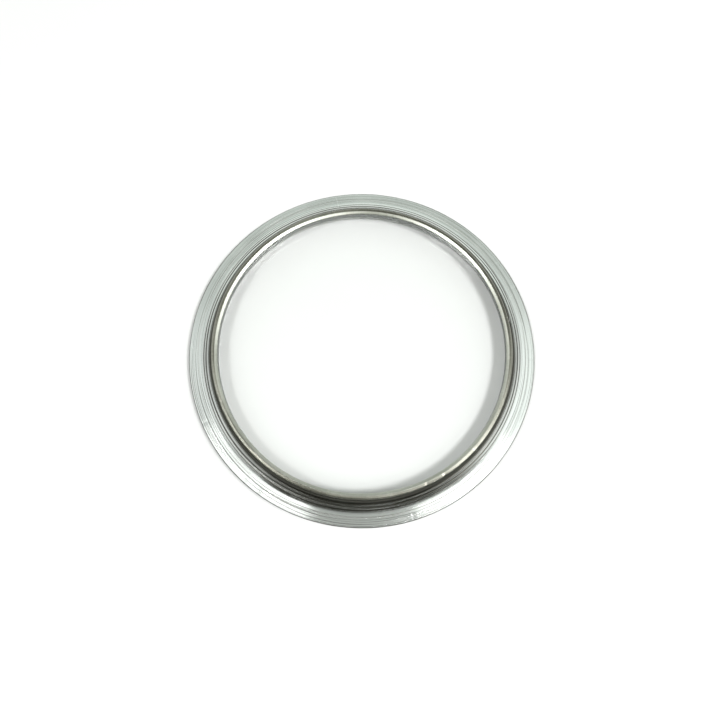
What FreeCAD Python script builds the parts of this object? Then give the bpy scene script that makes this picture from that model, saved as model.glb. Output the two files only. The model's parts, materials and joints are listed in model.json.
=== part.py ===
import FreeCAD, Part
import math
import os

# Sight glass for a 4 inch sanitary clamp joint, in millimetres.
# A turned stainless ring carries a clear disc in a pocket under its lip. The disc is cushioned
# by a gasket on each face and held up by a thin threaded ring that screws in from below.
#
# Frame: the origin is the centre of the sealing face, and +Z runs up the axis to the lip.

# Clamp flange and collar
FLANGE_DIAMETER = 119.0
RIM_THICKNESS = 2.85
TAPER_ANGLE = 20.0
SHOULDER_DIAMETER = 109.6
SHOULDER_ANGLE = 29.5
SHOULDER_BLEND_RADIUS = 6.0
COLLAR_DIAMETER = 101.6
BORE_DIAMETER = 97.4
OVERALL_HEIGHT = 8.5
ROOT_FILLET = 2.2
RIM_EDGE_RADIUS = 0.35
LIP_CHAMFER = 0.3
MOUTH_BEVEL_WIDTH = 0.95
MOUTH_BEVEL_ANGLE = 20.0
MOUTH_EDGE_RADIUS = 0.3

# Groove in the sealing face for the bead of the joint's gasket
BEAD_GROOVE_DIAMETER = 110.3
BEAD_GROOVE_RADIUS = 2.3
BEAD_GROOVE_DEPTH = 1.55

# Fine lines that the turning tool left round the flange's back. Their depth is along the axis.
TOOL_LINE_DIAMETERS = (104.2, 106.1, 107.9, 112.2, 114.0)
TOOL_LINE_RADIUS = 0.2
TOOL_LINE_DEPTH = 0.05

# Pocket under the lip, and the thread at its mouth
LEDGE_HEIGHT = 5.4
POCKET_DIAMETER = 102.6
POCKET_CORNER_RADIUS = 0.3
LEDGE_EDGE_RADIUS = 0.2
THREAD_DIAMETER = 103.0
THREAD_LENGTH = 1.4
THREAD_LEAD_IN = 0.2
THREAD_CLEARANCE = 0.05

# Glass and its gaskets, stacked down from the ledge
GLASS_DIAMETER = 102.0
GLASS_THICKNESS = 3.3
GLASS_CHAMFER = 0.4
GASKET_DIAMETER = 102.2
UPPER_GASKET_BORE = 98.6
UPPER_GASKET_THICKNESS = 0.5
LOWER_GASKET_BORE = 100.4
LOWER_GASKET_THICKNESS = 0.4
GASKET_EDGE_RADIUS = 0.1

# Retaining ring
RETAINING_RING_BORE = 100.4
RETAINING_RING_RECESS = 0.1
RETAINING_RING_CHAMFER = 0.15
SPANNER_SLOTS = 4
SPANNER_SLOT_WIDTH = 2.4
SPANNER_SLOT_DEPTH = 0.6

# Heights worked out from the stack
GLASS_TOP = LEDGE_HEIGHT - UPPER_GASKET_THICKNESS
GLASS_BOTTOM = GLASS_TOP - GLASS_THICKNESS
RETAINING_RING_TOP = GLASS_BOTTOM - LOWER_GASKET_THICKNESS

AXIS_POINT = FreeCAD.Vector(0, 0, 0)
AXIS = FreeCAD.Vector(0, 0, 1)


def back_height(radius):
    """Height of the flange's back at a radius: the clamp taper, and a steeper shoulder inside it."""
    shoulder = SHOULDER_DIAMETER / 2
    taper_rise = (FLANGE_DIAMETER / 2 - max(radius, shoulder)) * math.tan(math.radians(TAPER_ANGLE))
    shoulder_rise = max(shoulder - radius, 0) * math.tan(math.radians(SHOULDER_ANGLE))
    return RIM_THICKNESS + taper_rise + shoulder_rise


def corner_cut(corner, neighbour, length):
    """Point on the side from corner to neighbour, at a distance from the corner."""
    direction = (neighbour - corner).normalize()
    return corner + direction * length


def section_wire(corners):
    """Closed section of straight sides. Each corner is (radius, height, treatment, size).

    The treatment is "sharp", "round" for a tangent arc of that radius,
    or "chamfer" for a straight cut of that length along both sides.
    """
    points = [FreeCAD.Vector(radius, 0, height) for radius, height, _, _ in corners]
    starts = []
    ends = []
    corner_edges = []
    for index, (_, _, treatment, size) in enumerate(corners):
        corner = points[index]
        before = points[index - 1]
        after = points[(index + 1) % len(points)]
        half_angle = (before - corner).getAngle(after - corner) / 2
        cut = size
        if treatment == "round":
            cut = size / math.tan(half_angle)
        start = corner
        end = corner
        edge = None
        if treatment != "sharp":
            start = corner_cut(corner, before, cut)
            end = corner_cut(corner, after, cut)
            edge = Part.LineSegment(start, end).toShape()
        if treatment == "round":
            bisector = ((before - corner).normalize() + (after - corner).normalize()).normalize()
            nearest = corner + bisector * (size / math.sin(half_angle) - size)
            edge = Part.Arc(start, nearest, end).toShape()
        starts.append(start)
        ends.append(end)
        corner_edges.append(edge)
    edges = []
    for index, edge in enumerate(corner_edges):
        if edge is not None:
            edges.append(edge)
        following = (index + 1) % len(points)
        edges.append(Part.LineSegment(ends[index], starts[following]).toShape())
    return Part.Wire(edges)


def turned(corners):
    """Solid of revolution about the axis, from its section's corners."""
    return Part.Face(section_wire(corners)).revolve(AXIS_POINT, AXIS, 360)


def round_groove(ring_diameter, section_radius, centre_height):
    """Cutter for a round-bottomed groove that runs right round the axis."""
    centre = FreeCAD.Vector(0, 0, centre_height)
    return Part.makeTorus(ring_diameter / 2, section_radius, centre, AXIS)


def flat_ring(outer_diameter, inner_diameter, bottom, top, treatment, size):
    """Ring of rectangular section with all four edges treated alike."""
    outer = outer_diameter / 2
    inner = inner_diameter / 2
    corners = [
        (inner, bottom, treatment, size),
        (outer, bottom, treatment, size),
        (outer, top, treatment, size),
        (inner, top, treatment, size),
    ]
    return turned(corners)


def frame_ring():
    """Clamp flange, shoulder, collar and lip, with the glass pocket bored from below."""
    rim = FLANGE_DIAMETER / 2
    shoulder = SHOULDER_DIAMETER / 2
    collar = COLLAR_DIAMETER / 2
    bore = BORE_DIAMETER / 2
    pocket = POCKET_DIAMETER / 2
    thread = THREAD_DIAMETER / 2
    bevel_drop = MOUTH_BEVEL_WIDTH * math.tan(math.radians(MOUTH_BEVEL_ANGLE))
    corners = [
        (thread, 0, "chamfer", THREAD_LEAD_IN),
        (rim, 0, "round", RIM_EDGE_RADIUS),
        (rim, RIM_THICKNESS, "round", RIM_EDGE_RADIUS),
        (shoulder, back_height(shoulder), "round", SHOULDER_BLEND_RADIUS),
        (collar, back_height(collar), "round", ROOT_FILLET),
        (collar, OVERALL_HEIGHT, "chamfer", LIP_CHAMFER),
        (bore + MOUTH_BEVEL_WIDTH, OVERALL_HEIGHT, "sharp", 0),
        (bore, OVERALL_HEIGHT - bevel_drop, "round", MOUTH_EDGE_RADIUS),
        (bore, LEDGE_HEIGHT, "round", LEDGE_EDGE_RADIUS),
        (pocket, LEDGE_HEIGHT, "round", POCKET_CORNER_RADIUS),
        (pocket, THREAD_LENGTH, "sharp", 0),
        (thread, THREAD_LENGTH, "sharp", 0),
    ]
    ring = turned(corners)
    bead_centre = BEAD_GROOVE_DEPTH - BEAD_GROOVE_RADIUS
    ring = ring.cut(round_groove(BEAD_GROOVE_DIAMETER, BEAD_GROOVE_RADIUS, bead_centre))
    for diameter in TOOL_LINE_DIAMETERS:
        line_centre = back_height(diameter / 2) + TOOL_LINE_RADIUS - TOOL_LINE_DEPTH
        ring = ring.cut(round_groove(diameter, TOOL_LINE_RADIUS, line_centre))
    return ring


def glass_disc():
    """Clear disc with chamfered edges."""
    edge = GLASS_DIAMETER / 2
    corners = [
        (0, GLASS_BOTTOM, "sharp", 0),
        (edge, GLASS_BOTTOM, "chamfer", GLASS_CHAMFER),
        (edge, GLASS_TOP, "chamfer", GLASS_CHAMFER),
        (0, GLASS_TOP, "sharp", 0),
    ]
    return turned(corners)


def upper_gasket():
    """Cushion between the ledge and the glass."""
    return flat_ring(
        GASKET_DIAMETER, UPPER_GASKET_BORE, GLASS_TOP, LEDGE_HEIGHT, "round", GASKET_EDGE_RADIUS
    )


def lower_gasket():
    """Slip seal between the glass and the retaining ring."""
    return flat_ring(
        GASKET_DIAMETER,
        LOWER_GASKET_BORE,
        RETAINING_RING_TOP,
        GLASS_BOTTOM,
        "round",
        GASKET_EDGE_RADIUS,
    )


def retaining_ring():
    """Thin ring that screws into the pocket's mouth, slotted for a pin spanner."""
    outer_diameter = THREAD_DIAMETER - 2 * THREAD_CLEARANCE
    ring = flat_ring(
        outer_diameter,
        RETAINING_RING_BORE,
        RETAINING_RING_RECESS,
        RETAINING_RING_TOP,
        "chamfer",
        RETAINING_RING_CHAMFER,
    )
    slot = Part.makeBox(
        THREAD_DIAMETER,
        SPANNER_SLOT_WIDTH,
        SPANNER_SLOT_DEPTH + RETAINING_RING_RECESS,
        FreeCAD.Vector(0, -SPANNER_SLOT_WIDTH / 2, 0),
    )
    for index in range(SPANNER_SLOTS):
        turned_slot = slot.copy()
        turned_slot.rotate(AXIS_POINT, AXIS, 360 * index / SPANNER_SLOTS)
        ring = ring.cut(turned_slot)
    return ring


SUB_PARTS = {
    "frame_ring": frame_ring,
    "upper_gasket": upper_gasket,
    "glass_disc": glass_disc,
    "lower_gasket": lower_gasket,
    "retaining_ring": retaining_ring,
}

os.makedirs("parts", exist_ok=True)
for name, make in SUB_PARTS.items():
    make().exportStep("parts/" + name + ".step")
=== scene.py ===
import json
import math
import random

import bpy
from mathutils import Matrix, Vector


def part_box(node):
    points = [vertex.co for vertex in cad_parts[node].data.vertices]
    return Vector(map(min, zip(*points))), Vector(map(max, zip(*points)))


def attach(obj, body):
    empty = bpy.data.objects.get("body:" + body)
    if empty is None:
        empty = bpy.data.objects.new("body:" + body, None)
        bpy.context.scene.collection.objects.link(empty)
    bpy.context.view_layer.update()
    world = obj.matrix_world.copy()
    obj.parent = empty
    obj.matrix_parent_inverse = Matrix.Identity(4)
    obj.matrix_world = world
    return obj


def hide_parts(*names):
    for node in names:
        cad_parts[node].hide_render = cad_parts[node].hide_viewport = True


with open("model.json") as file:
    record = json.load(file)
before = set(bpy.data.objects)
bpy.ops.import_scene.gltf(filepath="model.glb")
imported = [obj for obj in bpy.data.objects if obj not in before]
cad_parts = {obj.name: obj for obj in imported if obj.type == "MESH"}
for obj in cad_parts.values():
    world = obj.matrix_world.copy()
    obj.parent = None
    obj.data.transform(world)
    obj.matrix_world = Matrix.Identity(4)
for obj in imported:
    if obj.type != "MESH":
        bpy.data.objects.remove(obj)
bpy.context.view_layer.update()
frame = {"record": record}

# Looks for a clamp sight glass: a turned steel ring with a clear disc in it, lying on a pale floor.
# Lengths are in metres, the axis is +Z, and the sealing face is at height 0.

mounts = {mount["name"]: mount for mount in frame["record"]["mounts"]}

MM = 0.001
BODY = "root"

# Sizes read from the frame
RING_LOW, RING_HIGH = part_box("frame_ring")
RIM_RADIUS = min(-RING_LOW.x, -RING_LOW.y, RING_HIGH.x, RING_HIGH.y)
LIP_HEIGHT = RING_HIGH.z
BORE_RADIUS = mounts["viewing_bore"]["dims"]["r_mm"] * MM
LEDGE_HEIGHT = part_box("upper_gasket")[1].z
GLASS_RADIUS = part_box("glass_disc")[1].x
GLASS_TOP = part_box("glass_disc")[1].z
GLASS_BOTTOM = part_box("glass_disc")[0].z
GASKET_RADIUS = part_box("upper_gasket")[1].x
RETAINER_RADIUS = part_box("retaining_ring")[1].x
RETAINER_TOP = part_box("retaining_ring")[1].z
RETAINER_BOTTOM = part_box("retaining_ring")[0].z

# Section sizes of the ring that the frame doesn't give by name
COLLAR_RADIUS = 50.8 * MM
RIM_THICKNESS = 2.85 * MM
TAPER = math.radians(20)
SHOULDER_RADIUS = 54.8 * MM
SHOULDER_SLOPE = math.radians(29.5)
SHOULDER_BLEND = 6.0 * MM
ROOT_FILLET = 2.2 * MM
RIM_EDGE = 0.35 * MM
LIP_CHAMFER = 0.3 * MM
LIP_EDGE = 0.05 * MM
MOUTH_BEVEL = 0.95 * MM
MOUTH_SLOPE = math.radians(20)
MOUTH_EDGE = 0.3 * MM
LEDGE_EDGE = 0.2 * MM
POCKET_RADIUS = 51.3 * MM
POCKET_CORNER = 0.3 * MM
THREAD_RADIUS = 51.5 * MM
THREAD_LENGTH = 1.4 * MM
THREAD_LEAD_IN = 0.2 * MM
BEAD_CENTRE_RADIUS = 55.15 * MM
BEAD_RADIUS = 2.3 * MM
BEAD_DEPTH = 1.55 * MM
TOOL_LINE_DEPTH = 0.05 * MM

# Turned lines in the back, from the rim inwards: radius, half width and finish
TAPER_LINES = ((57.0 * MM, 0.08 * MM, "taper"), (56.1 * MM, 0.11 * MM, "gleam"))
# The shoulder's score lines take near-black steel: painted shade in their grooves
SHOULDER_LINES = (
    (53.95 * MM, 0.11 * MM, "score"),
    (53.05 * MM, 0.17 * MM, "score"),
    (52.10 * MM, 0.11 * MM, "score"),
)

# Sizes of the pieces in the pocket
GLASS_CHAMFER = 0.4 * MM
UPPER_GASKET_BORE = 49.3 * MM
LOWER_GASKET_BORE = 50.2 * MM
GASKET_EDGE = 0.1 * MM
RETAINER_BORE = 50.2 * MM
RETAINER_CHAMFER = 0.15 * MM
SPANNER_SLOTS = 4
SPANNER_SLOT_WIDTH = 2.4 * MM
SPANNER_SLOT_DEPTH = 0.6 * MM

# Knocks on the ring's edges: their reach, and their depth as a share of it
DENT_COUNT = 34
DENT_SEED = 7
DENT_REACH_MM = (0.35, 0.9)
DENT_DEPTH_SHARE = (0.08, 0.18)

# Mesh fineness. A spanner slot's walls lean by its half width over the last number.
RING_SEGMENTS = 840
DISC_SEGMENTS = 360
ARC_STEP = math.radians(9)
LEAST_ARC_STEPS = 3
BEAD_STEPS = 14
CREASE_ANGLE = math.radians(12)
SLOT_WALL_DIVISOR = 40

# Colours of the steel: clean greenish faces, warmer cut faces, and near-black painted shade for the root
# fillet, the score lines and the rim's top edge
GREEN_LIGHT = (0.62, 0.64, 0.62, 1)
GREEN_DARK = (0.52, 0.54, 0.52, 1)
SHOULDER_LIGHT = (0.60, 0.61, 0.59, 1)
SHOULDER_DARK = (0.48, 0.49, 0.47, 1)
GLEAM = (0.80, 0.81, 0.79, 1)
EDGE_LIGHT = (0.50, 0.51, 0.46, 1)
EDGE_DARK = (0.36, 0.37, 0.325, 1)
WARM_LIGHT = (0.35, 0.35, 0.305, 1)
WARM_DARK = (0.20, 0.20, 0.17, 1)
RIM_LIGHT = (0.50, 0.51, 0.49, 1)
RIM_DARK = (0.36, 0.37, 0.35, 1)
# Dark bore steel: painted shade inside the bore, over the steel's own tone
BORE_LIGHT = (0.28, 0.29, 0.28, 1)
BORE_DARK = (0.18, 0.19, 0.18, 1)
# Near-black steel: painted shade for the root fillet, the score lines and the rim's top edge
SHADE_PAINT_LIGHT = (0.112, 0.112, 0.098, 1)
SHADE_PAINT_DARK = (0.058, 0.058, 0.049, 1)
SHADE_PAINT_BLACK = (0.035, 0.033, 0.028, 1)
RETAINER_LIGHT = (0.64, 0.65, 0.63, 1)
RETAINER_DARK = (0.50, 0.51, 0.49, 1)

# Colours of the marks in the steel
CHATTER_DARK = (0.09, 0.09, 0.075, 1)
GROOVE_DARK = (0.12, 0.12, 0.11, 1)
SCRATCH_PALE = (0.78, 0.79, 0.77, 1)
PIT_DARK = (0.10, 0.10, 0.09, 1)

# Looks of the other pieces and of the floor. GLASS_PASS tints light that goes straight through.
GLASS_TINT = (0.990, 0.996, 0.993, 1)
GLASS_PASS = (0.985, 0.990, 0.986, 1)
GLASS_IOR = 1.474
RUBBER_BLACK = (0.016, 0.016, 0.017, 1)
RUBBER_DUST = (0.11, 0.11, 0.10, 1)
PTFE_WHITE = (0.86, 0.86, 0.84, 1)
PTFE_STAIN = (0.72, 0.71, 0.66, 1)
FLOOR_PALE = (0.61, 0.61, 0.61, 1)

# Colours of the room
LEFT_WALL = (1.22, 1.27, 1.26, 1)
RIGHT_WALL = (1.66, 1.73, 1.70, 1)
WALL_FOOT = (0.50, 0.52, 0.50, 1)
FAR_WALL_LOW = (1.50, 1.61, 1.54, 1)
FAR_WALL_HIGH = (0.74, 0.79, 0.75, 1)
CEILING = (0.42, 0.43, 0.385, 1)
VIEWER_SIDE = (0.030, 0.030, 0.020, 1)

# Floor
FLOOR_HALF_WIDTH = 6.0
FLOOR_GAP = 0.02 * MM

# Softboxes: name, azimuth and elevation in degrees, width, height, and power in watts
SOFTBOXES = (
    ("softbox_right", -38, 50, 0.62, 0.20, 0.85),
    ("softbox_left", 218, 50, 0.70, 0.24, 1.1),
    ("key_right", -24, 63, 0.26, 0.15, 7.6),
    ("key_left", 204, 67, 0.26, 0.15, 3.6),
)

# Camera, with angles in degrees. The focal ratio is the focal length over the sensor's width.
SENSOR_WIDTH_MM = 36.0
FOCAL_RATIO = 0.894
CAMERA_ELEVATION = 75.75
CAMERA_ROLL = 0.6
CAMERA_POSITION = Vector((-0.62, -57.99, 217.29)) * MM
CAMERA_CLIP_START = 0.01


# ---- sections and turned meshes ------------------------------------------------------------------

def corner(radius, height, size=0.0, zone="", cut="round", cut_zone=""):
    """A section corner. zone names the side that leaves it, and cut_zone the arc or chamfer on it."""
    return {
        "at": Vector((radius, height)), "size": size, "zone": zone, "cut": cut,
        "cut_zone": cut_zone or zone,
    }


def section_points(corners):
    """Closed list of (point, zone), each corner rounded or chamfered. zone is the side that follows."""
    points = []
    for index, here in enumerate(corners):
        at = here["at"]
        before = (corners[index - 1]["at"] - at).normalized()
        after = (corners[(index + 1) % len(corners)]["at"] - at).normalized()
        if here["size"] == 0:
            points.append((at, here["zone"]))
            continue
        half = before.angle(after) / 2
        if here["cut"] == "chamfer":
            points.append((at + before * here["size"], here["cut_zone"]))
            points.append((at + after * here["size"], here["zone"]))
            continue
        centre = at + (before + after).normalized() * here["size"] / math.sin(half)
        start = at + before * here["size"] / math.tan(half) - centre
        end = at + after * here["size"] / math.tan(half) - centre
        sweep = start.angle_signed(end)
        steps = max(LEAST_ARC_STEPS, math.ceil(abs(sweep) / ARC_STEP))
        for step in range(steps + 1):
            turn = Matrix.Rotation(-sweep * step / steps, 2)
            zone = here["cut_zone"] if step < steps else here["zone"]
            points.append((centre + turn @ start, zone))
    return points


def quad(this_column, next_column, index, following):
    """Face between two neighbouring columns of points."""
    return this_column + index, next_column + index, next_column + following, this_column + following


def turned_mesh(name, points, segments, zone_materials, dents=()):
    """Piece made by turning a closed section round the axis, one material for each zone."""
    count = len(points)
    vertices = []
    for segment in range(segments):
        angle = 2 * math.pi * segment / segments
        across = Vector((math.cos(angle), math.sin(angle), 0))
        for point, _ in points:
            vertices.append(across * point.x + Vector((0, 0, point.y)))
    faces = []
    face_zones = []
    for segment in range(segments):
        this_column = segment * count
        next_column = (segment + 1) % segments * count
        for index, (_, zone) in enumerate(points):
            following = (index + 1) % count
            faces.append(quad(this_column, next_column, index, following))
            face_zones.append(zone)
    for dent in dents:
        press_dent(vertices, dent)
    return finished_mesh(name, vertices, faces, face_zones, zone_materials)


def finished_mesh(name, vertices, faces, face_zones, zone_materials):
    """Object with smooth faces, sharp creases and a material for each zone."""
    mesh = bpy.data.meshes.new(name)
    mesh.from_pydata(vertices, [], faces)
    slots = {}
    for zone, material in zone_materials.items():
        if material.name not in mesh.materials:
            mesh.materials.append(material)
        slots[zone] = mesh.materials.find(material.name)
    mesh.polygons.foreach_set("material_index", [slots[zone] for zone in face_zones])
    mesh.polygons.foreach_set("use_smooth", [True] * len(faces))
    mesh.update()
    mesh.set_sharp_from_angle(angle=CREASE_ANGLE)
    piece = bpy.data.objects.new(name, mesh)
    bpy.context.scene.collection.objects.link(piece)
    even = piece.modifiers.new("even_normals", "WEIGHTED_NORMAL")
    even.keep_sharp = True
    return piece


def press_dent(vertices, dent):
    """Pushes the vertices near a dent's centre towards the metal, most at the middle."""
    centre, reach, push = dent
    for vertex in vertices:
        gap = abs(vertex.x - centre.x)
        if gap < reach:
            gap = (vertex - centre).length
            if gap < reach:
                vertex += push * (0.5 + 0.5 * math.cos(math.pi * gap / reach))


# ---- material building blocks ---------------------------------------------------------------------

def new_material(name):
    """Empty node material and its tree."""
    material = bpy.data.materials.new(name)
    material.use_nodes = True
    material.node_tree.nodes.clear()
    return material, material.node_tree


def add(tree, kind, inputs=None, **settings):
    """Adds a node. inputs maps a socket's name or number to a value, or to a socket that feeds it."""
    made = tree.nodes.new(kind)
    for key, value in settings.items():
        setattr(made, key, value)
    for key, value in (inputs or {}).items():
        if isinstance(value, bpy.types.NodeSocket):
            tree.links.new(value, made.inputs[key])
        else:
            made.inputs[key].default_value = value
    return made


def calc(tree, operation, first, second=0.0, third=0.0, clamp=False):
    """Result of one Math node."""
    made = add(tree, "ShaderNodeMath", {0: first, 1: second, 2: third}, operation=operation, use_clamp=clamp)
    return made.outputs[0]


def spread(tree, value, low, high, to_low=0.0, to_high=1.0):
    """Maps low..high smoothly to to_low..to_high, held at the ends."""
    inputs = {"Value": value, "From Min": low, "From Max": high, "To Min": to_low, "To Max": to_high}
    return add(tree, "ShaderNodeMapRange", inputs, interpolation_type="SMOOTHSTEP").outputs["Result"]


def blend_colours(tree, factor, first, second):
    """Mix of two colours."""
    made = add(tree, "ShaderNodeMix", {0: factor, 6: first, 7: second}, data_type="RGBA")
    return made.outputs[2]


def cloud(tree, vector, scale, detail=2.0, roughness=0.5):
    """Soft noise, around 0.5."""
    inputs = {"Vector": vector, "Scale": scale, "Detail": detail, "Roughness": roughness}
    return add(tree, "ShaderNodeTexNoise", inputs).outputs["Fac"]


def place(tree):
    """Position on the part, distance from the axis, and direction away from the axis."""
    position = add(tree, "ShaderNodeTexCoord").outputs["Object"]
    level = add(tree, "ShaderNodeVectorMath", {0: position, 1: (1, 1, 0)}, operation="MULTIPLY").outputs[0]
    radius = add(tree, "ShaderNodeVectorMath", {0: level}, operation="LENGTH").outputs["Value"]
    outward = add(tree, "ShaderNodeVectorMath", {0: level}, operation="NORMALIZE").outputs[0]
    return position, radius, outward


def streaks(tree, outward, radius, height, around, across, detail=2.0, roughness=0.6):
    """Noise drawn out round the axis. around sets how often it changes per turn, and across per metre."""
    turned = add(tree, "ShaderNodeVectorMath", {0: outward, "Scale": around}, operation="SCALE").outputs[0]
    depth = calc(tree, "MULTIPLY", calc(tree, "SUBTRACT", radius, height), across)
    lift = add(tree, "ShaderNodeCombineXYZ", {"Z": depth}).outputs[0]
    space = add(tree, "ShaderNodeVectorMath", {0: turned, 1: lift}, operation="ADD").outputs[0]
    return cloud(tree, space, 1.0, detail, roughness)


def hairlines(tree, position, scale, width, amount):
    """Thin scratches: the contour of one noise, kept only where another noise is high."""
    path = cloud(tree, position, scale, detail=1.0)
    off_line = calc(tree, "ABSOLUTE", calc(tree, "SUBTRACT", path, 0.5))
    line = spread(tree, off_line, 0.0, width, 1.0, 0.0)
    patch = cloud(tree, position, scale * 2.3, detail=1.0)
    kept = spread(tree, patch, 0.70 - amount, 0.74 - amount)
    return calc(tree, "MULTIPLY", line, kept)


def specks(tree, position, scale, size, share):
    """Small round spots in a share of the cells."""
    cells = add(tree, "ShaderNodeTexVoronoi", {"Vector": position, "Scale": scale, "Randomness": 1.0})
    spot = spread(tree, cells.outputs["Distance"], size * 0.5, size, 1.0, 0.0)
    chance = add(tree, "ShaderNodeSeparateColor", {0: cells.outputs["Color"]}).outputs[0]
    chosen = calc(tree, "LESS_THAN", chance, share)
    return calc(tree, "MULTIPLY", spot, chosen)


def turned_steel(name, light, dark, roughness, round_marks=0.3, spoke_marks=0.0, spoke_count=260.0,
                 anisotropy=0.6, wear=1.0, lines=0.6, grazing=1.0):
    """Stainless steel with tool marks round the axis, chatter marks across them, scratches and pits.

    grazing is how much of its shine is left when it is seen edge on: set low, with the near-black colours,
    where shade is painted into the steel.
    """
    material, tree = new_material(name)
    position, radius, outward = place(tree)
    height = add(tree, "ShaderNodeSeparateXYZ", {0: position}).outputs["Z"]
    fine = streaks(tree, outward, radius, height, around=1.6, across=5200.0)
    broad = streaks(tree, outward, radius, height, around=0.9, across=1300.0, roughness=0.55)
    chatter = streaks(tree, outward, radius, height, around=spoke_count, across=700.0)
    groove = streaks(tree, outward, radius, height, around=1.1, across=2600.0, detail=1.0, roughness=0.5)
    groove = calc(tree, "MULTIPLY", spread(tree, groove, 0.57, 0.65), lines)
    patches = cloud(tree, position, 42.0, detail=3.0, roughness=0.55)
    scratch = hairlines(tree, position, scale=55.0, width=0.006, amount=0.10 * wear)
    pits = specks(tree, position, scale=420.0, size=0.10, share=0.05 * wear)

    tone = calc(tree, "ADD", calc(tree, "MULTIPLY", broad, 0.6), calc(tree, "MULTIPLY", patches, 0.4))
    colour = blend_colours(tree, spread(tree, tone, 0.32, 0.68), dark, light)
    ticks = calc(tree, "MULTIPLY", spread(tree, chatter, 0.42, 0.66), spoke_marks)
    colour = blend_colours(tree, calc(tree, "MULTIPLY", ticks, 0.8), colour, CHATTER_DARK)
    colour = blend_colours(tree, calc(tree, "MULTIPLY", groove, 0.75), colour, GROOVE_DARK)
    colour = blend_colours(tree, calc(tree, "MULTIPLY", scratch, 0.35), colour, SCRATCH_PALE)
    colour = blend_colours(tree, calc(tree, "MULTIPLY", pits, 0.7), colour, PIT_DARK)

    rough = spread(tree, broad, 0.3, 0.7, roughness - 0.06, roughness + 0.07)
    rough = calc(tree, "ADD", rough, spread(tree, patches, 0.35, 0.7, -0.02, 0.05))
    rough = calc(tree, "ADD", rough, calc(tree, "MULTIPLY", pits, 0.3), clamp=True)

    relief = calc(tree, "MULTIPLY", fine, round_marks)
    relief = calc(tree, "MULTIPLY_ADD", broad, round_marks * 1.6, relief)
    relief = calc(tree, "MULTIPLY_ADD", chatter, spoke_marks * 0.45, relief)
    relief = calc(tree, "MULTIPLY_ADD", groove, -0.9, relief)
    relief = calc(tree, "MULTIPLY_ADD", scratch, -0.35, relief)
    relief = calc(tree, "MULTIPLY_ADD", pits, -0.8, relief)
    bump = add(tree, "ShaderNodeBump", {"Height": relief, "Strength": 0.45, "Distance": 0.03 * MM})
    tangent = add(tree, "ShaderNodeTangent", direction_type="RADIAL", axis="Z")
    shader = add(tree, "ShaderNodeBsdfPrincipled", {
        "Base Color": colour, "Metallic": 1.0, "Roughness": rough, "Anisotropic": anisotropy,
        "Anisotropic Rotation": 0.25, "Normal": bump.outputs[0], "Tangent": tangent.outputs[0],
        "Specular Tint": (grazing, grazing, grazing, 1),
    })
    add(tree, "ShaderNodeOutputMaterial", {"Surface": shader.outputs[0]})
    return material


def clear_glass(name, frosted):
    """Borosilicate glass. The faces are polished with faint smears, and the edge is ground."""
    material, tree = new_material(name)
    position, _, _ = place(tree)
    smears = cloud(tree, position, 60.0, detail=3.0, roughness=0.6)
    wiped = cloud(tree, position, 16.0)
    if frosted:
        rough = spread(tree, smears, 0.3, 0.7, 0.32, 0.46)
        grain = cloud(tree, position, 6000.0, roughness=0.6)
    else:
        haze = calc(tree, "MULTIPLY", spread(tree, smears, 0.5, 0.8), spread(tree, wiped, 0.45, 0.7))
        rough = calc(tree, "MULTIPLY", haze, 0.05)
        grain = cloud(tree, position, 30.0, detail=1.0)
    bump = add(tree, "ShaderNodeBump", {
        "Height": grain, "Strength": 0.5 if frosted else 0.02, "Distance": 0.01 * MM,
    })
    shader = add(tree, "ShaderNodeBsdfPrincipled", {
        "Base Color": GLASS_TINT, "Roughness": rough, "IOR": GLASS_IOR,
        "Transmission Weight": 1.0, "Normal": bump.outputs[0],
    })
    plain_pass = add(tree, "ShaderNodeBsdfTransparent", {"Color": GLASS_PASS})
    path = add(tree, "ShaderNodeLightPath").outputs
    surface = shader.outputs[0]
    for kind in ("Is Shadow Ray", "Is Diffuse Ray"):
        mixed = add(tree, "ShaderNodeMixShader", {0: path[kind], 1: surface, 2: plain_pass.outputs[0]})
        surface = mixed.outputs[0]
    add(tree, "ShaderNodeOutputMaterial", {"Surface": surface})
    return material


def black_rubber(name):
    """Matt black elastomer with a fine moulded grain and pale dust in places."""
    material, tree = new_material(name)
    position, _, _ = place(tree)
    grain = cloud(tree, position, 5200.0, detail=3.0, roughness=0.65)
    dust = spread(tree, cloud(tree, position, 240.0, detail=4.0, roughness=0.6), 0.52, 0.75)
    colour = blend_colours(tree, calc(tree, "MULTIPLY", dust, 0.25), RUBBER_BLACK, RUBBER_DUST)
    rough = spread(tree, grain, 0.3, 0.7, 0.55, 0.78)
    bump = add(tree, "ShaderNodeBump", {"Height": grain, "Strength": 0.5, "Distance": 0.03 * MM})
    shader = add(tree, "ShaderNodeBsdfPrincipled", {
        "Base Color": colour, "Roughness": rough, "Specular IOR Level": 0.4, "Normal": bump.outputs[0],
    })
    add(tree, "ShaderNodeOutputMaterial", {"Surface": shader.outputs[0]})
    return material


def white_ptfe(name):
    """Waxy white sheet with faint skiving lines round it."""
    material, tree = new_material(name)
    position, radius, outward = place(tree)
    height = add(tree, "ShaderNodeSeparateXYZ", {0: position}).outputs["Z"]
    lines = streaks(tree, outward, radius, height, around=2.0, across=6500.0)
    stain = spread(tree, cloud(tree, position, 150.0, detail=3.0, roughness=0.55), 0.45, 0.75)
    colour = blend_colours(tree, calc(tree, "MULTIPLY", stain, 0.4), PTFE_WHITE, PTFE_STAIN)
    rough = spread(tree, lines, 0.3, 0.7, 0.36, 0.50)
    bump = add(tree, "ShaderNodeBump", {"Height": lines, "Strength": 0.35, "Distance": 0.02 * MM})
    shader = add(tree, "ShaderNodeBsdfPrincipled", {
        "Base Color": colour, "Roughness": rough, "Subsurface Weight": 0.2,
        "Subsurface Radius": (0.002, 0.002, 0.002), "Subsurface Scale": 0.3, "Normal": bump.outputs[0],
    })
    add(tree, "ShaderNodeOutputMaterial", {"Surface": shader.outputs[0]})
    return material


# ---- the steel ring ---------------------------------------------------------------------------------

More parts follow.
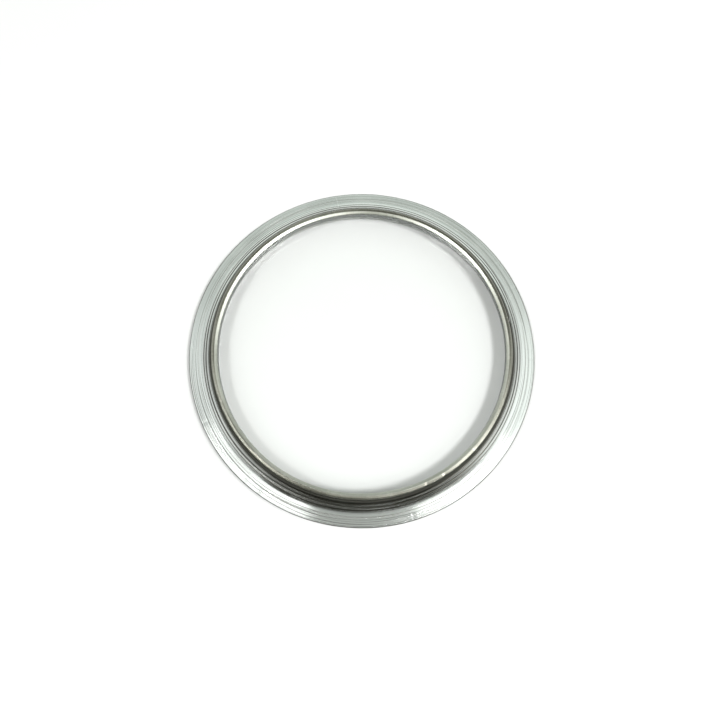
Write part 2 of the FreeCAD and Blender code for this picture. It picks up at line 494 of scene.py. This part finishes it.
def back_height(radius):
    """Height of the flange's back at a radius: a taper, and a steeper shoulder inside it."""
    on_taper = RIM_RADIUS - max(radius, SHOULDER_RADIUS)
    on_shoulder = max(SHOULDER_RADIUS - radius, 0)
    return RIM_THICKNESS + on_taper * math.tan(TAPER) + on_shoulder * math.tan(SHOULDER_SLOPE)


def tool_line(line, zone):
    """Corners of a shallow turned line in the flange's back. zone is the finish that goes on after it."""
    radius, half_width, line_zone = line
    outer, inner = radius + half_width, radius - half_width
    return [
        corner(outer, back_height(outer), zone=line_zone),
        corner(radius, back_height(radius) - TOOL_LINE_DEPTH, zone=line_zone),
        corner(inner, back_height(inner), zone=zone),
    ]


def ring_corners():
    """Section of the steel ring, from the thread's mouth out along the sealing face and back over the top."""
    bead_half = math.sqrt(BEAD_RADIUS ** 2 - (BEAD_RADIUS - BEAD_DEPTH) ** 2)
    bead_centre = BEAD_DEPTH - BEAD_RADIUS
    mouth_drop = MOUTH_BEVEL * math.tan(MOUTH_SLOPE)
    corners = [corner(THREAD_RADIUS, 0, THREAD_LEAD_IN, "face", "chamfer", "edge")]
    for step in range(BEAD_STEPS + 1):
        across = -bead_half + 2 * bead_half * step / BEAD_STEPS
        rise = bead_centre + math.sqrt(BEAD_RADIUS ** 2 - across ** 2)
        zone = "groove" if step < BEAD_STEPS else "face"
        corners.append(corner(BEAD_CENTRE_RADIUS + across, max(rise, 0), zone=zone))
    corners.append(corner(RIM_RADIUS, 0, RIM_EDGE, "rim"))
    # The arc on the rim's top edge takes near-black steel: painted shade standing in for the dark outline at
    # the rim
    corners.append(corner(RIM_RADIUS, RIM_THICKNESS, RIM_EDGE, "taper", cut_zone="rim_shade"))
    for line in TAPER_LINES:
        corners += tool_line(line, "taper")
    shoulder_height = back_height(SHOULDER_RADIUS)
    corners.append(corner(SHOULDER_RADIUS, shoulder_height, SHOULDER_BLEND, "shoulder", cut_zone="taper"))
    for line in SHOULDER_LINES:
        corners += tool_line(line, "shoulder")
    corners += [
        corner(COLLAR_RADIUS, back_height(COLLAR_RADIUS), ROOT_FILLET, "fillet"),
        corner(COLLAR_RADIUS, LIP_HEIGHT - LIP_CHAMFER, LIP_EDGE, "lip"),
        corner(COLLAR_RADIUS - LIP_CHAMFER, LIP_HEIGHT, LIP_EDGE, "lip"),
        corner(BORE_RADIUS + MOUTH_BEVEL, LIP_HEIGHT, zone="edge"),
        corner(BORE_RADIUS, LIP_HEIGHT - mouth_drop, MOUTH_EDGE, "bore", cut_zone="edge"),
        corner(BORE_RADIUS, LEDGE_HEIGHT, LEDGE_EDGE, "ledge", cut_zone="bore"),
        corner(POCKET_RADIUS, LEDGE_HEIGHT, POCKET_CORNER, "ledge"),
        corner(POCKET_RADIUS, THREAD_LENGTH, zone="ledge"),
        corner(THREAD_RADIUS, THREAD_LENGTH, zone="ledge"),
    ]
    return corners


def ring_dents():
    """Small knocks on the lip's two edges and on the rim."""
    draw = random.Random(DENT_SEED)
    edges = (
        (COLLAR_RADIUS - LIP_CHAMFER, LIP_HEIGHT, -1.0),
        (BORE_RADIUS + MOUTH_BEVEL, LIP_HEIGHT, 1.0),
        (RIM_RADIUS - RIM_EDGE, RIM_THICKNESS, -1.0),
    )
    dents = []
    for _ in range(DENT_COUNT):
        radius, height, inward = draw.choice(edges)
        angle = draw.uniform(0, 2 * math.pi)
        across = Vector((math.cos(angle), math.sin(angle), 0))
        reach = draw.uniform(*DENT_REACH_MM) * MM
        depth = reach * draw.uniform(*DENT_DEPTH_SHARE)
        centre = across * radius + Vector((0, 0, height))
        push = (across * inward + Vector((0, 0, -1))).normalized() * depth
        dents.append((centre, reach, push))
    return dents


def ring_finishes():
    """The finish of each zone: two tones, roughness, and strength of its round marks and its chatter."""
    return {
        "taper": turned_steel("steel_taper", GREEN_LIGHT, GREEN_DARK, 0.18, 0.28, 0.02, lines=0.7),
        "shoulder": turned_steel(
            "steel_shoulder", SHOULDER_LIGHT, SHOULDER_DARK, 0.17, 0.26, 0.06, lines=1.0
        ),
        "gleam": turned_steel("steel_gleam", GLEAM, GREEN_LIGHT, 0.24, 0.16, 0.02),
        # Score lines: near-black painted shade in the grooves
        "score": turned_steel("steel_score", SHADE_PAINT_DARK, SHADE_PAINT_BLACK, 0.30, 0.20, 0.10, grazing=0.3),
        # Root fillet: near-black painted shade in the crease between flange and collar
        "fillet": turned_steel(
            "steel_fillet", SHADE_PAINT_LIGHT, SHADE_PAINT_DARK, 0.28, 0.30, 0.45,
            spoke_count=120.0, anisotropy=0.45, grazing=0.35,
        ),
        "lip": turned_steel(
            "steel_lip", WARM_LIGHT, WARM_DARK, 0.27, 0.16, 0.55,
            spoke_count=430.0, anisotropy=0.3, wear=1.4, lines=0.6,
        ),
        "edge": turned_steel(
            "steel_edge", EDGE_LIGHT, EDGE_DARK, 0.36, 0.12, 0.22,
            spoke_count=200.0, anisotropy=0.2, wear=1.0, lines=0.1,
        ),
        "rim": turned_steel("steel_rim", RIM_LIGHT, RIM_DARK, 0.24, 0.30, 0.05, wear=0.5),
        # Rim's top edge: near-black painted shade standing in for the dark outline at the rim
        "rim_shade": turned_steel("steel_rim_shade", SHADE_PAINT_DARK, SHADE_PAINT_BLACK, 0.34, 0.30, 0.05, grazing=0.25),
        # Bore: steel kept dark as painted shade inside the bore
        "bore": turned_steel("steel_bore", BORE_LIGHT, BORE_DARK, 0.24, 0.24, 0.1, spoke_count=150.0),
        "ledge": turned_steel("steel_ledge", WARM_LIGHT, GREEN_DARK, 0.34, 0.35, 0.05),
        "face": turned_steel("steel_face", GREEN_LIGHT, GREEN_DARK, 0.22, 0.26, 0.03),
        "groove": turned_steel("steel_groove", GREEN_LIGHT, WARM_DARK, 0.28, 0.36, 0.08),
    }


def build_ring():
    """The steel ring: flange, shoulder, collar and lip, and the pocket under the lip."""
    outline = section_points(ring_corners())
    ring = turned_mesh("steel_ring", outline, RING_SEGMENTS, ring_finishes(), ring_dents())
    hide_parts("frame_ring")
    return ring


# ---- the pieces in the pocket -----------------------------------------------------------------------

def square_ring(outer, inner, bottom, top, size, cut, zone):
    """Corners of a ring of rectangular section."""
    return [
        corner(inner, bottom, size, zone, cut),
        corner(outer, bottom, size, zone, cut),
        corner(outer, top, size, zone, cut),
        corner(inner, top, size, zone, cut),
    ]


def build_gasket(name, node, bore, material):
    """Flat seal ring that stands for a gasket node."""
    low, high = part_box(node)
    corners = square_ring(GASKET_RADIUS, bore, low.z, high.z, GASKET_EDGE, "round", "seal")
    gasket = turned_mesh(name, section_points(corners), DISC_SEGMENTS, {"seal": material})
    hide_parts(node)
    return gasket


def build_glass():
    """The clear disc: flat polished faces, and a ground edge with two chamfers."""
    finishes = {
        "clear": clear_glass("glass_clear", frosted=False),
        "ground": clear_glass("glass_ground", frosted=True),
    }
    outline = [
        (GLASS_RADIUS - GLASS_CHAMFER, GLASS_BOTTOM),
        (GLASS_RADIUS, GLASS_BOTTOM + GLASS_CHAMFER),
        (GLASS_RADIUS, GLASS_TOP - GLASS_CHAMFER),
        (GLASS_RADIUS - GLASS_CHAMFER, GLASS_TOP),
    ]
    count = len(outline)
    vertices = []
    for segment in range(DISC_SEGMENTS):
        angle = 2 * math.pi * segment / DISC_SEGMENTS
        for radius, height in outline:
            vertices.append(Vector((radius * math.cos(angle), radius * math.sin(angle), height)))
    faces = []
    face_zones = []
    for segment in range(DISC_SEGMENTS):
        this_column = segment * count
        next_column = (segment + 1) % DISC_SEGMENTS * count
        for index in range(count - 1):
            faces.append(quad(this_column, next_column, index, index + 1))
            face_zones.append("ground")
    faces.append([segment * count + count - 1 for segment in range(DISC_SEGMENTS)])
    faces.append([segment * count for segment in reversed(range(DISC_SEGMENTS))])
    face_zones += ["clear", "clear"]
    glass = finished_mesh("window_glass", vertices, faces, face_zones, finishes)
    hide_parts("glass_disc")
    return glass


def build_retainer():
    """The ring that holds the glass up, with slots for a pin spanner cut across its lower face."""
    material = turned_steel("steel_retainer", RETAINER_LIGHT, RETAINER_DARK, 0.30, 0.32, 0.05)
    corners = square_ring(
        RETAINER_RADIUS, RETAINER_BORE, RETAINER_BOTTOM, RETAINER_TOP, RETAINER_CHAMFER, "chamfer", "steel",
    )
    points = [point for point, _ in section_points(corners)]
    slot_floor = RETAINER_BOTTOM + SPANNER_SLOT_DEPTH
    half_slot = SPANNER_SLOT_WIDTH / 2 / RETAINER_RADIUS
    corner_gap = half_slot / SLOT_WALL_DIVISOR
    columns = []
    for slot in range(SPANNER_SLOTS):
        middle = 2 * math.pi * slot / SPANNER_SLOTS
        columns.append((middle - half_slot - corner_gap, False))
        columns.append((middle - half_slot, True))
        columns.append((middle, True))
        columns.append((middle + half_slot, True))
        columns.append((middle + half_slot + corner_gap, False))
        land = 2 * math.pi / SPANNER_SLOTS - 2 * (half_slot + corner_gap)
        steps = DISC_SEGMENTS // SPANNER_SLOTS
        for step in range(1, steps):
            columns.append((middle + half_slot + corner_gap + land * step / steps, False))
    vertices = []
    for angle, slotted in columns:
        for point in points:
            height = max(point.y, slot_floor) if slotted else point.y
            vertices.append(Vector((point.x * math.cos(angle), point.x * math.sin(angle), height)))
    faces = []
    for column in range(len(columns)):
        this_column = column * len(points)
        next_column = (column + 1) % len(columns) * len(points)
        for index in range(len(points)):
            following = (index + 1) % len(points)
            faces.append(quad(this_column, next_column, index, following))
    zones = ["steel"] * len(faces)
    retainer = finished_mesh("threaded_retainer", vertices, faces, zones, {"steel": material})
    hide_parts("retaining_ring")
    return retainer


# ---- floor, light and camera ------------------------------------------------------------------------

def build_floor():
    """Plain pale floor, a hair below the sealing face so that the two never share a plane."""
    half = FLOOR_HALF_WIDTH
    level = -FLOOR_GAP
    corners = [(-half, -half, level), (half, -half, level), (half, half, level), (-half, half, level)]
    mesh = bpy.data.meshes.new("floor")
    mesh.from_pydata(corners, [], [(0, 1, 2, 3)])
    floor = bpy.data.objects.new("floor", mesh)
    bpy.context.scene.collection.objects.link(floor)
    material, tree = new_material("pale_floor")
    shader = add(tree, "ShaderNodeBsdfPrincipled", {
        "Base Color": FLOOR_PALE, "Roughness": 0.85, "Specular IOR Level": 0.2,
    })
    add(tree, "ShaderNodeOutputMaterial", {"Surface": shader.outputs[0]})
    mesh.materials.append(material)


def build_sky():
    """Soft room light: pale walls, a dimmer ceiling, and a dark side low down where the viewer stands."""
    world = bpy.data.worlds.new("studio")
    bpy.context.scene.world = world
    world.use_nodes = True
    tree = world.node_tree
    tree.nodes.clear()
    direction = add(tree, "ShaderNodeTexCoord").outputs["Generated"]
    rise = add(tree, "ShaderNodeSeparateXYZ", {0: direction}).outputs["Z"]
    level = add(tree, "ShaderNodeVectorMath", {0: direction, 1: (1, 1, 0)}, operation="MULTIPLY").outputs[0]
    bearing = add(tree, "ShaderNodeVectorMath", {0: level}, operation="NORMALIZE").outputs[0]
    across, along = add(tree, "ShaderNodeSeparateXYZ", {0: bearing}).outputs[0:2]
    side_wall = blend_colours(tree, spread(tree, across, -0.5, 0.9), LEFT_WALL, RIGHT_WALL)
    sides = blend_colours(tree, spread(tree, rise, 0.0, 0.52), WALL_FOOT, side_wall)
    far_wall = blend_colours(tree, spread(tree, rise, 0.05, 0.45), FAR_WALL_LOW, FAR_WALL_HIGH)
    walls = blend_colours(tree, spread(tree, along, 0.15, 0.85), sides, far_wall)
    colour = blend_colours(tree, spread(tree, rise, 0.62, 0.92), walls, CEILING)
    viewer_side = spread(tree, along, -0.88, -0.22, 1.0, 0.0)
    low_down = spread(tree, rise, 0.62, 0.80, 1.0, 0.0)
    shade = calc(tree, "MULTIPLY", viewer_side, low_down)
    colour = blend_colours(tree, shade, colour, VIEWER_SIDE)
    background = add(tree, "ShaderNodeBackground", {"Color": colour, "Strength": 1.0})
    add(tree, "ShaderNodeOutputWorld", {"Surface": background.outputs[0]})


def add_softbox(name, azimuth, elevation, width, height, power):
    """Area light one metre from the part, facing it."""
    light = bpy.data.lights.new(name, "AREA")
    light.shape = "RECTANGLE"
    light.size = width
    light.size_y = height
    light.energy = power
    lamp = bpy.data.objects.new(name, light)
    bpy.context.scene.collection.objects.link(lamp)
    side, rise = math.radians(azimuth), math.radians(elevation)
    away = Vector((math.cos(rise) * math.cos(side), math.cos(rise) * math.sin(side), math.sin(rise)))
    lamp.location = away
    lamp.rotation_euler = away.to_track_quat("Z", "Y").to_euler()


def build_camera():
    """Camera held above the near side of the ring, looking down at it."""
    data = bpy.data.cameras.new("camera")
    data.sensor_width = SENSOR_WIDTH_MM
    data.lens = data.sensor_width * FOCAL_RATIO
    data.clip_start = CAMERA_CLIP_START
    camera = bpy.data.objects.new("camera", data)
    bpy.context.scene.collection.objects.link(camera)
    tilt = Matrix.Rotation(math.radians(90 - CAMERA_ELEVATION), 4, "X")
    roll = Matrix.Rotation(math.radians(CAMERA_ROLL), 4, "Z")
    camera.matrix_world = Matrix.Translation(CAMERA_POSITION) @ tilt @ roll
    bpy.context.scene.camera = camera


pieces = [
    build_ring(),
    build_glass(),
    build_gasket("upper_seal", "upper_gasket", UPPER_GASKET_BORE, black_rubber("rubber_black")),
    build_gasket("lower_seal", "lower_gasket", LOWER_GASKET_BORE, white_ptfe("ptfe_white")),
    build_retainer(),
]
for piece in pieces:
    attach(piece, BODY)

build_floor()
build_sky()
for softbox in SOFTBOXES:
    add_softbox(*softbox)
build_camera()
bpy.context.scene.view_settings.view_transform = "Standard"
